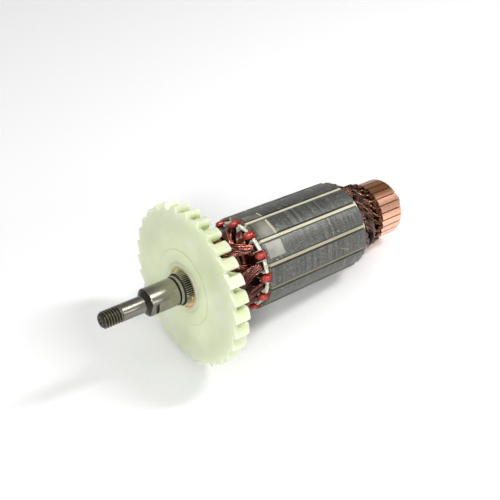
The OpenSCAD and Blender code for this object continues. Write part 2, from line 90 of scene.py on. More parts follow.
def add(tree, kind, inputs=None, **settings):
    """A shader node of a kind, with its settings, and each input given a value or a link."""
    made = tree.nodes.new("ShaderNode" + kind)
    for key, value in settings.items():
        setattr(made, key, value)
    for key, value in (inputs or {}).items():
        if isinstance(value, bpy.types.NodeSocket):
            tree.links.new(value, made.inputs[key])
        else:
            made.inputs[key].default_value = value
    return made


def ramp(tree, factor, stops):
    """A colour ramp through (position, colour) stops, as its colour output."""
    made = add(tree, "ValToRGB", {"Fac": factor})
    for _ in stops[2:]:
        made.color_ramp.elements.new(0.5)
    for element, (position, colour) in zip(made.color_ramp.elements, stops):
        element.position = position
        element.color = (*colour, 1)
    return made.outputs["Color"]


def surface(name, metallic=0.0, roughness=0.5, **sockets):
    """A new material, its node tree and its shader, with plain socket values set."""
    made = bpy.data.materials.new(name)
    made.use_nodes = True
    shader = made.node_tree.nodes["Principled BSDF"]
    shader.inputs["Metallic"].default_value = metallic
    shader.inputs["Roughness"].default_value = roughness
    for key, value in sockets.items():
        shader.inputs[key.replace("_", " ").title().replace("Ior", "IOR")].default_value = value
    return made, made.node_tree, shader


def noise(tree, vector, scale, detail=3, roughness=0.55):
    """Value of a noise pattern at a vector."""
    inputs = {"Vector": vector, "Scale": scale, "Detail": detail, "Roughness": roughness}
    return add(tree, "TexNoise", inputs).outputs["Fac"]


def sweep_height(x, y):
    """Height of the paper at x, y, in metres: level out to d = 0.8 from the middle, and
    0.9 * ((d - 0.8) / 0.8) ** 2 from there. It lies a little under the floor."""
    beyond = np.clip((np.hypot(x, y) - level_to) / level_to, 0, 1.5)
    return climb * beyond ** 2 - below_floor


across = np.linspace(-half_sheet, half_sheet, cells + 1)
sheet_x, sheet_y = np.meshgrid(across, across, indexing="ij")
sheet_points = np.stack([sheet_x, sheet_y, sweep_height(sheet_x, sheet_y)], -1).reshape(-1, 3)
row = cells + 1
corner = np.arange(cells)[:, None] * row + np.arange(cells)
squares = np.stack([corner, corner + row, corner + row + 1, corner + 1], -1).reshape(-1, 4)
sweep = bpy.data.meshes.new("paper_sweep")
sweep.from_pydata(sheet_points.tolist(), [], squares.tolist())
paper_sweep = bpy.data.objects.new("paper_sweep", sweep)
bpy.context.collection.objects.link(paper_sweep)
paper, tree, shader = surface("white_paper", roughness=0.8)
grain = noise(tree, add(tree, "TexCoord").outputs["Object"], 900)
pale = ramp(tree, grain, [(0.3, (0.95, 0.95, 0.95)), (0.7, (0.99, 0.99, 0.99))])
tree.links.new(pale, shader.inputs["Base Color"])
sweep.materials.append(paper)
sweep.polygons.foreach_set("use_smooth", np.ones(len(sweep.polygons), bool))

# Shaft. It is one steel bar, turned, with a rolled thread and a straight knurl, then ground on
# its bearing seats. The thread end is blackened, and the fan and commutator are pressed on.
thread_r, thread_pitch, thread_depth, thread_to = 3.0, 1.0, 0.62, 7.2
cone_from, seat_from, seat_to, seat_r = 15.8, 17.4, 28.0, 5.0
flat_to, flat_depth, flat_angle = 19.6, 0.9, 100.0
groove_r, collar_from, collar_r = 4.75, 28.7, 5.3
knurl_from, knurl_to, knurl_r, knurl_depth, ridges = 29.9, 44.4, 6.0, 0.42, 48
core_seat_to, core_seat_r, commutator_seat_r = 106.0, 5.5, 4.75
shoulder_from, shoulder_r = 133.2, 4.2
rear_from, rear_r, rear_chamfer, shaft_end = 135.8, 3.5, 0.4, 142.8
front_bottom, rear_bottom, bottom_r = 1.25, 141.6, 0.4
columns = ridges * 7
GROUND, BLACKENED, TURNED = 0, 1, 2
seats = {mount["name"]: mount for mount in frame["record"]["mounts"]}
front_seat = np.array(seats["drive_bearing_seat"]["pos_m"]) * 1000
rear_seat = np.array(seats["rear_bearing_seat"]["pos_m"]) * 1000
shaft_run = (rear_seat - front_seat) / np.linalg.norm(rear_seat - front_seat)
tilt = math.atan2(-shaft_run[2], shaft_run[0])
shaft_up = np.array([math.sin(tilt), 0, math.cos(tilt)])
shaft_start = rear_seat - shaft_run * (rear_from + shaft_end - rear_chamfer) / 2


def row_frame(station, radius, angle):
    """Points in metres, (start + s * run + r * (cos(a) * up - sin(a) * y)) / 1000: a station s
    along the shaft and a radius r in mm, and an angle a in degrees from its uppermost side."""
    turn = np.radians(angle)
    station, radius, turn = np.broadcast_arrays(station, radius, turn)
    points = shaft_start + station[..., None] * shaft_run
    points = points + (radius * np.cos(turn))[..., None] * shaft_up
    points[..., 1] -= radius * np.sin(turn)
    return points / 1000


def mesh_piece(name, points, faces, materials, face_slot=None):
    """A smooth mesh object at the origin from its points, faces and materials."""
    mesh = bpy.data.meshes.new(name)
    mesh.from_pydata(points.reshape(-1, 3).tolist(), [], faces)
    for one in materials:
        mesh.materials.append(one)
    if face_slot is not None:
        mesh.polygons.foreach_set("material_index", np.asarray(face_slot, np.int32))
    mesh.polygons.foreach_set("use_smooth", np.ones(len(mesh.polygons), bool))
    mesh.update()
    piece = bpy.data.objects.new(name, mesh)
    bpy.context.collection.objects.link(piece)
    return piece


def lathe_faces(rows, columns):
    """Faces of a closed turned form: quads between its rows, and a fan to a pole at each end."""
    k = np.arange(rows - 1)[:, None] * columns
    c = np.arange(columns)[None, :]
    d = (c + 1) % columns
    quads = np.stack([k + c, k + d, k + columns + d, k + columns + c], -1).reshape(-1, 4)
    first, last = np.full(columns, rows * columns), np.full(columns, rows * columns + 1)
    top = (rows - 1) * columns
    c, d = c[0], d[0]
    return quads, [np.stack([first, d, c], -1), np.stack([last, top + c, top + d], -1)]


def thread_cut(station, angle):
    """Depth of the thread: depth * clip((|2p - 1| - 0.14) / 0.6, 0, 1), with the phase
    p = station / pitch - angle / 360. It runs out over the last 0.6 mm before 6.9."""
    phase = (station / thread_pitch - angle / 360) % 1
    side = np.clip((np.abs(2 * phase - 1) - 0.14) / 0.6, 0, 1)
    return thread_depth * side * np.clip((6.9 - station) / 0.6, 0, 1)


def knurl_cut(angle):
    """Depth of the knurl: depth * d ** 0.8, with d from 0 on a ridge to 1 between two."""
    return knurl_depth * (np.abs((angle / 360 * ridges + 0.5) % 1 - 0.5) * 2) ** 0.8


def flat_radius(angle):
    """Distance of the milled flat from the axis: (seat_r - depth) / cos(a), with a the angle
    from the flat's middle."""
    aside = np.radians((angle - flat_angle + 180) % 360 - 180)
    return (seat_r - flat_depth) / np.maximum(np.cos(aside), 0.1)


thread_steps = np.arange(0.2, thread_to - 0.25, thread_pitch / 14)
thread_rows = [(x, min(thread_r, 2.1 + (x - 0.06) * 1.07)) for x in thread_steps]
outline = [(front_bottom, bottom_r), (1.15, 0.5), (0.05, 1.1), (0, 1.2), (0, 1.95), (0.06, 2.1), *thread_rows]
outline += [(6.98, 2.7), (thread_to, 2.7), (thread_to, 2.85), (7.4, thread_r), (7.5, thread_r)]
outline += [(11, thread_r), (15.7, thread_r), (cone_from, 3.02), (16.3, 3.68), (16.8, 4.35), (17.25, 4.9)]
outline += [(seat_from, seat_r), (18.2, seat_r), (19.0, seat_r), (flat_to, seat_r), (flat_to, seat_r)]
outline += [(21, seat_r), (24, seat_r), (27.95, seat_r), (seat_to, 4.95), (seat_to, groove_r)]
outline += [(collar_from, groove_r), (collar_from, 5.15), (28.85, collar_r), (29.65, collar_r)]
outline += [(knurl_from, 5.1), (knurl_from, 5.5), (30.4, knurl_r), (33, knurl_r), (knurl_to, knurl_r)]
outline += [(knurl_to, core_seat_r), (core_seat_to, core_seat_r), (core_seat_to, commutator_seat_r)]
outline += [(shoulder_from, commutator_seat_r), (shoulder_from, shoulder_r), (rear_from, shoulder_r)]
outline += [(rear_from, rear_r), (142.3, rear_r), (142.45, 3.42), (shaft_end, 3.1), (shaft_end, 1.1)]
outline += [(141.7, 0.5), (rear_bottom, bottom_r)]
outline = np.array(outline)
flat_step = int(np.argmax(outline[:, 0] >= flat_to))
angle = np.arange(columns) * 360 / columns
station, radius = [np.repeat(v[:, None], columns, 1) for v in outline.T]
on_thread = (station > 0.1) & (station < 6.95)
radius = np.where(on_thread, np.minimum(radius, thread_r - thread_cut(station, angle)), radius)
on_knurl = (radius > 5.45) & (station >= knurl_from) & (station <= knurl_to)
radius = np.where(on_knurl, np.minimum(radius, knurl_r - knurl_cut(angle)), radius)
flat_rows = (outline[:, 0] > cone_from - 0.01) & (np.arange(len(outline)) <= flat_step)
radius = np.where(flat_rows[:, None], np.minimum(radius, flat_radius(angle)), radius)
poles = row_frame(np.array([front_bottom, rear_bottom]), np.zeros(2), np.zeros(2))
points = np.concatenate([row_frame(station, radius, angle).reshape(-1, 3), poles])
quads, caps = lathe_faces(len(outline), columns)


def calc(tree, operation, *values):
    """Result of one arithmetic node."""
    return add(tree, "Math", dict(enumerate(values)), operation=operation).outputs[0]


def plus(tree, first, second):
    """Sum of two values."""
    return calc(tree, "ADD", first, second)


def minus(tree, first, second):
    """Difference of two values."""
    return calc(tree, "SUBTRACT", first, second)


def times(tree, first, second):
    """Product of two values."""
    return calc(tree, "MULTIPLY", first, second)


def between(tree, value, start, end, low=0.0, high=1.0):
    """Value that goes from low to high as another goes from start to end, and no further."""
    inputs = {"Value": value, "From Min": start, "From Max": end, "To Min": low, "To Max": high}
    return add(tree, "MapRange", inputs).outputs["Result"]


def blend_colours(tree, factor, first, second):
    """Mix of two colours, each three numbers or a link. The node's sockets 0, 6 and 7 are the
    factor and the two colours, and its third output is the colour."""
    first, second = [one if isinstance(one, bpy.types.NodeSocket) else (*one, 1) for one in (first, second)]
    return add(tree, "Mix", {0: factor, 6: first, 7: second}, data_type="RGBA").outputs[2]


def relief(tree, height, depth, soften=None):
    """Normal of a surface raised by a height pattern, with a depth in metres, and with its
    edges softened over a radius."""
    inputs = {"Height": height, "Distance": depth, "Strength": 1.0}
    if soften:
        inputs["Normal"] = add(tree, "Bevel", {"Radius": soften}, samples=4).outputs["Normal"]
    return add(tree, "Bump", inputs).outputs["Normal"]


def dress(shader, colour, pattern, smooth, rough, normal=None):
    """A shader's links: colour, roughness from smooth to rough as a pattern goes 0 to 1, and
    normal."""
    tree = shader.id_data
    tree.links.new(colour, shader.inputs["Base Color"])
    tree.links.new(between(tree, pattern, 0, 1, smooth, rough), shader.inputs["Roughness"])
    if normal:
        tree.links.new(normal, shader.inputs["Normal"])


def shaft_coordinates(tree):
    """Sockets of a point's station, radius and turn (in whole turns), and its place in mm."""
    place = add(tree, "Mapping", {
        "Vector": add(tree, "TexCoord").outputs["Object"],
        "Location": tuple(shaft_start / 1000),
        "Rotation": (0, tilt, 0),
        "Scale": (0.001, 0.001, 0.001),
    }, vector_type="TEXTURE").outputs["Vector"]
    x, y, z = add(tree, "SeparateXYZ", {"Vector": place}).outputs
    radius = calc(tree, "SQRT", plus(tree, times(tree, y, y), times(tree, z, z)))
    turn = calc(tree, "DIVIDE", calc(tree, "ARCTAN2", y, z), 2 * math.pi)
    return x, radius, turn, place


def stretched(tree, place, along, round_it):
    """The place scaled along the shaft and across it, for marks that run one way."""
    scale = (along, round_it, round_it)
    return add(tree, "Mapping", {"Vector": place, "Scale": scale}).outputs["Vector"]


ground, tree, shader = surface("ground_steel", metallic=1.0)
x, r, turn, place = shaft_coordinates(tree)
rings = noise(tree, stretched(tree, place, 9, 0.25), 1.0, 5, 0.7)
smears = noise(tree, stretched(tree, place, 0.35, 0.6), 1.0, 3)
# Painted light: both colours of the ground steel lighten along the seat towards the fan, for the brighter
# light that falls there.
lit_towards_fan = between(tree, x, 16.5, 28.5, 0.05, 0.95)
bright = blend_colours(tree, lit_towards_fan, (0.26, 0.247, 0.217), (0.50, 0.48, 0.41))
dark = blend_colours(tree, lit_towards_fan, (0.17, 0.158, 0.133), (0.28, 0.26, 0.21))
steel = blend_colours(tree, smears, bright, dark)
dress(shader, steel, rings, 0.24, 0.36, relief(tree, rings, 0.000003))

blackened, tree, shader = surface("blackened_steel", metallic=0.85)
x, r, turn, place = shaft_coordinates(tree)
speckle = noise(tree, place, 2.2, 4, 0.7)
# Lighter thread crests: the black film worn through, and a painted highlight on the crests as well.
crest_wear_and_glint = times(tree, minus(tree, r, 2.55), 2.2)
oxide = ramp(tree, speckle, [(0.3, (0.022, 0.020, 0.013)), (0.7, (0.09, 0.082, 0.058))])
oxide = blend_colours(tree, times(tree, crest_wear_and_glint, speckle), oxide, (0.34, 0.32, 0.24))
dress(shader, oxide, speckle, 0.3, 0.55, relief(tree, speckle, 0.00002))

turned, tree, shader = surface("turned_steel", metallic=0.95)
x, r, turn, place = shaft_coordinates(tree)
tool_marks = noise(tree, stretched(tree, place, 5, 0.2), 1.0, 4, 0.6)
dull = ramp(tree, tool_marks, [(0.3, (0.025, 0.022, 0.016)), (0.7, (0.085, 0.078, 0.064))])
# Painted highlight: the knurl's crests are coloured near white.
knurl_crest_glint = between(tree, r, 5.80, 5.93)
steel = blend_colours(tree, knurl_crest_glint, dull, (0.90, 0.88, 0.82))
dress(shader, steel, tool_marks, 0.25, 0.5, relief(tree, tool_marks, 0.00003))

middle = outline[:-1, 0] / 2 + outline[1:, 0] / 2
row_slot = np.where(middle < thread_to + 0.05, BLACKENED, GROUND)
for start, end in (
    (cone_from - 0.1, seat_from - 0.1),
    (seat_to - 0.03, collar_from + 0.05),
    (knurl_from - 0.15, rear_from + 0.05),
):
    row_slot[(middle > start) & (middle < end)] = TURNED
row_slot[flat_step] = TURNED
cap_slot = np.full(2 * columns, BLACKENED)
shaft = mesh_piece(
    "turned_shaft",
    points,
    quads.tolist() + caps[0].tolist() + caps[1].tolist(),
    [ground, blackened, turned],
    np.concatenate([np.repeat(row_slot, columns), cap_slot]),
)
on_flat = flat_rows[:-1, None] & (flat_radius(angle) < seat_r - 0.01)
rounded = (np.abs(np.diff(outline[:, 0])) > 0.001)[:, None] & ~on_flat
rounded = np.concatenate([rounded.ravel(), np.zeros(2 * columns, bool)])
shaft.data.polygons.foreach_set("use_smooth", rounded)
shaft.data.set_sharp_from_angle(angle=math.radians(16))
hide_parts("shaft")
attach(shaft, "root")

# Fan bush. A short steel tube with a yellow chromate film, moulded into the fan's hub. The
# knurl of the shaft bites into its bore.
chromate, tree, shader = surface("yellow_chromate", metallic=1.0)
x, r, turn, place = shaft_coordinates(tree)
round_it = plus(tree, times(tree, calc(tree, "COSINE", times(tree, turn, 2 * math.pi)), -0.22), 0.5)
film = plus(tree, round_it, times(tree, minus(tree, noise(tree, place, 0.5, 2), 0.5), 0.5))
film = ramp(tree, film, [
    (0.20, (0.30, 0.31, 0.12)),
    (0.42, (0.52, 0.48, 0.20)),
    (0.58, (0.74, 0.50, 0.22)),
    (0.70, (0.85, 0.48, 0.36)),
    (0.85, (0.60, 0.52, 0.40)),
])
rings = noise(tree, stretched(tree, place, 3, 1.0), 2.0, 4, 0.6)
dress(shader, film, rings, 0.2, 0.4, relief(tree, rings, 0.00002, 0.00012))


def give(material, *names):
    """One material for each named piece of the CAD model, in place of its own."""
    for name in names:
        frame["nodes"][name].data.materials.clear()
        frame["nodes"][name].data.materials.append(material)


give(chromate, "fan_bush")

# Fan. One moulding in unfilled nylon, greenish white and a little translucent. Its disc is
# smooth in front and carries thirty swept blades behind, cut off together at the toothed rim.
plate_r, lip_r, lip_w = 13.95, 9.1, 1.6
front_x, tooth_x, valley_r, valley_shade_r, tip_light_r = 33.2, 33.3, 26.0, 27.0, 29.3
nylon, tree, shader = surface("natural_nylon", subsurface_weight=0.8, subsurface_scale=0.008, ior=1.5)
shader.inputs["Subsurface Radius"].default_value = (1.0, 1.1, 0.7)
x, r, turn, place = shaft_coordinates(tree)
cloud = noise(tree, place, 0.09, 3, 0.5)
fine = noise(tree, place, 1.6, 4, 0.6)
body = ramp(tree, cloud, [(0.3, (0.66, 0.76, 0.48)), (0.7, (0.77, 0.84, 0.60))])
on_teeth = times(tree, calc(tree, "GREATER_THAN", x, tooth_x), calc(tree, "GREATER_THAN", r, valley_r))
# Painted shade: the toothed faces behind the rim darken and go greener from near the tips towards the
# valleys.
valley_shade = between(tree, r, tip_light_r, valley_shade_r, 0.12, 0.75)
body = blend_colours(tree, times(tree, on_teeth, valley_shade), body, (0.48, 0.54, 0.30))
in_lip = between(tree, r, lip_r, lip_r - 0.2)
body = blend_colours(tree, times(tree, in_lip, 0.8), body, (0.80, 0.80, 0.46))
in_front = between(tree, x, front_x, front_x - 0.3)
# Painted shade: a thin dark line in the step of the hub plate and a dark ring just outside the lip, with a
# light random mottle everywhere.
at_step = between(tree, calc(tree, "ABSOLUTE", minus(tree, r, plate_r + 0.03)), 0.16, 0.04)
at_lip = between(tree, calc(tree, "ABSOLUTE", minus(tree, r, lip_r + 0.15)), 0.35, 0.05, 0.0, 0.55)
step_and_lip_shade = times(tree, times(tree, at_step, in_front), times(tree, fine, 1.1))
step_and_lip_shade = plus(tree, step_and_lip_shade, times(tree, at_lip, times(tree, in_front, fine)))
mottle_and_shade = plus(tree, times(tree, fine, 0.10), step_and_lip_shade)
body = blend_colours(tree, mottle_and_shade, body, (0.36, 0.38, 0.22))
from_crown = calc(tree, "DIVIDE", minus(tree, r, lip_r - lip_w / 2), lip_w / 2)
over_lip = calc(tree, "MINIMUM", calc(tree, "POWER", from_crown, 2.0), 1.0)
swell = plus(tree, times(tree, cloud, 6.0), times(tree, fine, 0.15))
swell = minus(tree, swell, times(tree, over_lip, 2.4))
dress(shader, body, fine, 0.26, 0.46, relief(tree, swell, 0.0001, 0.0002))
give(nylon, "fan")

# Core. Thin electrical steel sheets, punched with twelve slots, stacked on the shaft, and ground
# round. Three shallow cuts at its front edge balance the armature.
core_from, core_to, core_r, sheet = 58.3, core_seat_to, 17.7, 0.5
cut_from, cut_len, cut_floor_r = 0.9, 7.4, 16.55
lamination, tree, shader = surface("stacked_sheets", metallic=0.9)
x, r, turn, place = shaft_coordinates(tree)
count = calc(tree, "DIVIDE", x, sheet)
tone = add(tree, "TexWhiteNoise", {"W": calc(tree, "FLOOR", count)}, noise_dimensions="1D").outputs["Value"]
seam = calc(tree, "ABSOLUTE", minus(tree, calc(tree, "FRACT", count), 0.5))
seam = between(tree, seam, 0.36, 0.5)
drag = noise(tree, stretched(tree, place, 3.5, 0.9), 1.0, 4, 0.6)
pits = noise(tree, place, 2.2, 5, 0.75)
blotch = noise(tree, place, 0.14, 4, 0.6)
rubbed = between(tree, noise(tree, place, 0.11, 2), 0.52, 0.62)
mixed = plus(tree, times(tree, tone, 0.06), times(tree, drag, 0.22))
mixed = plus(tree, mixed, times(tree, pits, 0.72))
mixed = plus(tree, mixed, times(tree, rubbed, times(tree, minus(tree, tone, 0.5), 0.16)))
grey = ramp(tree, mixed, [
    (0.36, (0.062, 0.063, 0.058)),
    (0.50, (0.124, 0.126, 0.119)),
    (0.64, (0.27, 0.27, 0.26)),
])
grey = blend_colours(tree, times(tree, blotch, 0.5), grey, (0.14, 0.14, 0.12))
slanted = {"Vector": place, "Rotation": (0, 0, 0.5), "Scale": (0.16, 0.5, 0.5)}
slanted = add(tree, "Mapping", slanted).outputs["Vector"]
scratch = add(tree, "TexVoronoi", {"Vector": slanted, "Scale": 1.0}, feature="DISTANCE_TO_EDGE")
scratch = between(tree, scratch.outputs["Distance"], 0.012, 0.004)
scratch = times(tree, scratch, calc(tree, "GREATER_THAN", noise(tree, place, 0.5, 2), 0.56))
grey = blend_colours(tree, times(tree, scratch, 0.8), grey, (0.62, 0.61, 0.57))
grey = blend_colours(tree, times(tree, seam, 0.22), grey, (0.06, 0.06, 0.05))
milled = between(tree, r, core_r - 0.03, core_r - 0.06)
milled = times(tree, milled, between(tree, r, cut_floor_r, cut_floor_r + 0.05))
cut = ramp(tree, noise(tree, place, 0.13, 1), [(0.35, (0.20, 0.20, 0.16)), (0.65, (0.46, 0.44, 0.38))])
# Painted highlight: the pockets further round take a lighter, patchy colour.
further_round = calc(tree, "LESS_THAN", turn, -0.07)
cut = blend_colours(tree, times(tree, further_round, noise(tree, place, 0.3, 1)), cut, (0.42, 0.40, 0.37))
# Painted highlight: a near-white line along the end of the first pocket only.
cut_end_glint = calc(tree, "ABSOLUTE", minus(tree, x, core_from + cut_from + cut_len))
cut_end_glint = times(tree, between(tree, cut_end_glint, 0.35, 0.2), minus(tree, 1.0, further_round))
cut = blend_colours(tree, cut_end_glint, cut, (0.98, 0.93, 0.80))
height = minus(tree, times(tree, pits, 0.8), times(tree, seam, 0.5))
height = times(tree, height, minus(tree, 1.0, milled))
grey = blend_colours(tree, milled, grey, cut)
dress(shader, grey, pits, 0.34, 0.56, relief(tree, height, 0.00003, 0.00008))
give(lamination, "core")

# Slot wedges. Twelve strips of pressed cream fibre pushed into the slots over the wires. They
# are held under the tips of the core's teeth and stand out a little at both ends.
slots, first_slot = 12, -3.0
fibre, tree, shader = surface("cream_fibre", subsurface_weight=0.1, subsurface_scale=0.001)
x, r, turn, place = shaft_coordinates(tree)
strands = noise(tree, stretched(tree, place, 0.35, 6), 1.0, 4, 0.6)
stain = noise(tree, stretched(tree, place, 0.05, 0.12), 1.0, 5, 0.7)
cream = ramp(tree, strands, [(0.3, (0.62, 0.58, 0.42)), (0.7, (0.88, 0.85, 0.68))])
cream = blend_colours(tree, times(tree, stain, 0.75), cream, (0.34, 0.31, 0.19))
# Painted shade: the wedges darken from near the top down the near side, and the darkening fades out again
# towards the bottom.
lower_wedge_shade = between(tree, turn, -0.07, -0.25, 0.0, 0.88)
fading_below = between(tree, turn, -0.5, -0.38)
cream = blend_colours(tree, times(tree, lower_wedge_shade, fading_below), cream, (0.13, 0.125, 0.075))
slot_share = plus(tree, times(tree, turn, slots), 0.5 + first_slot * slots / 360)
from_middle = calc(tree, "ABSOLUTE", minus(tree, calc(tree, "FRACT", slot_share), 0.5))
# Painted shade: the strip is dark along its two edges, beside the teeth's tips.
opening_edge_shade = between(tree, from_middle, 0.045, 0.065)
cream = blend_colours(tree, times(tree, opening_edge_shade, 0.9), cream, (0.05, 0.045, 0.03))
past_core = calc(tree, "ABSOLUTE", minus(tree, x, (core_from + core_to) / 2))
past_core = calc(tree, "GREATER_THAN", past_core, (core_to - core_from) / 2 + 0.02)
torn = ramp(tree, noise(tree, place, 1.3, 3), [
    (0.32, (0.22, 0.19, 0.12)),
    (0.44, (0.78, 0.74, 0.56)),
    (0.56, (0.97, 0.96, 0.92)),
])
cream = blend_colours(tree, past_core, cream, torn)
dress(shader, cream, strands, 0.4, 0.65, relief(tree, strands, 0.00004, 0.00008))
give(fibre, *[f"wedge_{number + 1}" for number in range(slots)])

# Slot liners. Twelve channels folded from smooth white insulating paper. They line the slots
# between the steel and the wires, and their ends show at both faces of the core.
liner, tree, shader = surface("insulating_paper", subsurface_weight=0.15, subsurface_scale=0.0008)
x, r, turn, place = shaft_coordinates(tree)
pulp = noise(tree, place, 1.4, 5, 0.7)
white = ramp(tree, pulp, [(0.3, (0.72, 0.69, 0.60)), (0.7, (0.86, 0.85, 0.80))])
dress(shader, white, pulp, 0.4, 0.6, relief(tree, pulp, 0.00003))
give(liner, "slot_liners")

# End insulators. Red moulded stars on the two faces of the core, each with a rounded nose on
# every tooth that keeps the wires in, and a tube along the shaft under the coil heads.
nose_r, soaked_r = 15.4, 14.6
red, tree, shader = surface("red_moulding", subsurface_weight=0.2, subsurface_scale=0.001, coat_weight=0.3)
x, r, turn, place = shaft_coordinates(tree)
flow = noise(tree, place, 0.8, 3)
moulded = ramp(tree, flow, [(0.3, (0.30, 0.014, 0.009)), (0.7, (0.50, 0.036, 0.018))])
at_rear = between(tree, x, core_to - 1, core_to + 0.4, 0.0, 0.85)
soaked = calc(tree, "MAXIMUM", between(tree, r, nose_r, soaked_r), at_rear)
moulded = blend_colours(tree, soaked, moulded, (0.035, 0.010, 0.007))
dress(shader, moulded, flow, 0.22, 0.42, relief(tree, flow, 0.00006, 0.00015))
give(red, "front_insulator", "rear_insulator")

# Coils. Each is wound from enamelled copper wire through two slots five apart, in opposite
# pairs, and the heads lie over each other at both ends of the core. Varnish holds the wires.
coils, span, layers, slot_pitch = 12, 5, 6, 360 / slots
tube_r, wire_d, head_base = 6.5, 0.56, 1.1
deep_half, shallow_half, hug_half = (1.2, 0.8), (1.15, 1.45), 1.4
deep_r, shallow_r, hug_r = 11.429, 14.0, tube_r + 0.15 + hug_half
front_head, rear_head = 13.3, 9.5
descents = [(0.75, 0.75), (1.4, 1.4), (2.0, 2.3), (2.4, 3.1), (2.4, 3.9), (2.4, 4.5)]
in_ring = [1, 6, 12, 18]
strand_count = sum(in_ring)


def smooth_step(x):
    """0 up to 0, 1 from 1, and the cubic 3x^2 - 2x^3 between."""
    x = np.clip(x, 0, 1)
    return x * x * (3 - 2 * x)


def rise(x, power):
    """Quarter of a superellipse, (1 - (1 - x)^p)^(1/p): steep at 0 and level at 1."""
    return (1 - (1 - np.clip(x, 0, 1)) ** power) ** (1 / power)


def coil_head(number, u, length, outer, lift, drift):
    """Radius, angle and height above the core of a coil's strands, u slots along its head. Each
    is level + (start - level) * first + (end - level) * last, with smooth steps first and last
    at the two slots. Outer is -1 for the innermost strand and 1 for the outermost, lift is -1
    for the lowest and 1 for the highest, and drift is how far one strays on its way up."""
    layer = (number - 1) % layers
    pitch = (length - head_base) / layers
    full = (outer + 1) / 2
    ends = [(deep_r, deep_half, 0.0), (shallow_r, shallow_half, 1.0)]
    start, end = ends[layer == layers - 1], ends[layer > 0]
    soonest, latest = descents[layer]
    first = 1 - smooth_step(u / (0.75 + (1.45 if start[2] else 0.9 * full)))
    last = 1 - smooth_step((span - u) / (soonest + (latest - soonest) * full))
    level_r = hug_r + outer * (hug_half - wire_d / 2) + 3.2 * full * (layer == layers - 1)
    start_r, end_r = [middle + outer * (half[0] - wire_d / 2) for middle, half, _ in (start, end)]
    radius = level_r + (start_r - level_r) * first + (end_r - level_r) * last
    climbs = [(0.5 + full * (0.4 + 0.5 * top), 3.2 - full * (0.7 + 0.6 * top)) for _, _, top in (start, end)]
    share = rise(u / climbs[0][0], climbs[0][1]) * rise((span - u) / climbs[1][0], climbs[1][1])
    height = (head_base + pitch * (layer + 0.5 + 0.45 * lift)) * share
    aside = start[1][1] * (1 - smooth_step(u)) - end[1][1] * (1 - smooth_step(span - u))
    angle = first_slot + slot_pitch * (7 - number - u) + np.degrees(0.85 * lift * aside / radius)
    return radius, angle + drift * 4 * share * (1 - share), height


def unit(vectors):
    """Vectors made one long."""
    return vectors / np.linalg.norm(vectors, axis=-1, keepdims=True)


def wires(name, paths, outward, radius, sides, closed, material):
    """Round wires: p + radius * (cos(a) * out + sin(a) * side) for each point p of the paths
    (wires, stations, 3), with out and side across the run, and out nearest to outward. Each
    wire gets one random tint."""
    count, stations = paths.shape[:2]
    if closed:
        run = np.roll(paths, -1, 1) - np.roll(paths, 1, 1)
    else:
        run = np.gradient(paths, axis=1)
    run = unit(run)
    side = unit(np.cross(run, outward))
    out = np.cross(side, run)
    a = np.arange(sides) * 2 * np.pi / sides
    ring = np.cos(a)[:, None] * out[:, :, None] + np.sin(a)[:, None] * side[:, :, None]
    points = (paths[:, :, None] + radius * ring).reshape(count, -1, 3)
    w = np.arange(count)[:, None, None] * stations * sides
    k = np.arange(stations if closed else stations - 1)[None, :, None]
    c = np.arange(sides)[None, None, :]
    here, there, d = w + k * sides, w + (k + 1) % stations * sides, (c + 1) % sides
    faces = np.broadcast_arrays(here + c, here + d, there + d, there + c)
    faces = np.stack(faces, -1).reshape(-1, 4).tolist()
    if not closed:
        starts = np.arange(count)[:, None] * stations * sides
        faces += (starts + np.arange(sides)[::-1]).tolist()
        faces += (starts + (stations - 1) * sides + np.arange(sides)).tolist()
    laid = shaft_start + points[..., :1] * shaft_run + points[..., 2:] * shaft_up
    laid[..., 1] += points[..., 1]
    piece = mesh_piece(name, laid / 1000, faces, [material])
    tint = piece.data.attributes.new("wire_tint", "FLOAT", "POINT")
    shade = np.random.default_rng(len(name) + count).random(count)
    tint.data.foreach_set("value", np.repeat(shade, stations * sides))
    return piece


enamel, tree, shader = surface("enamelled_copper", metallic=0.9, coat_weight=0.8, coat_roughness=0.06)
x, r, turn, place = shaft_coordinates(tree)
tint = add(tree, "Attribute", attribute_name="wire_tint").outputs["Fac"]
varnish = noise(tree, place, 0.45, 3)
copper = ramp(tree, tint, [
    (0.0, (0.08, 0.012, 0.007)),
    (0.55, (0.20, 0.034, 0.015)),
    (0.8, (0.42, 0.095, 0.042)),
    (1.0, (0.80, 0.26, 0.13)),
])
copper = blend_colours(tree, times(tree, varnish, 0.85), copper, (0.045, 0.010, 0.006))
at_rear = between(tree, x, core_to + 1, core_to + 6)
copper = blend_colours(tree, times(tree, at_rear, 0.75), copper, (0.022, 0.009, 0.006))
dress(shader, copper, varnish, 0.10, 0.26)
head_steps = 36
along_head = span * (1 - np.cos(np.linspace(0, np.pi, head_steps))) / 2
loop = np.linspace(0, 2 * np.pi, 2 * head_steps, endpoint=False)
ring_size = np.repeat(np.arange(4) / 3, in_ring)[:, None]
ring_share = [np.arange(n) / n + shift for n, shift in zip(in_ring, (0, 0, 0.04, 0.02))]
ring_turn = 2 * np.pi * np.concatenate(ring_share)[:, None]
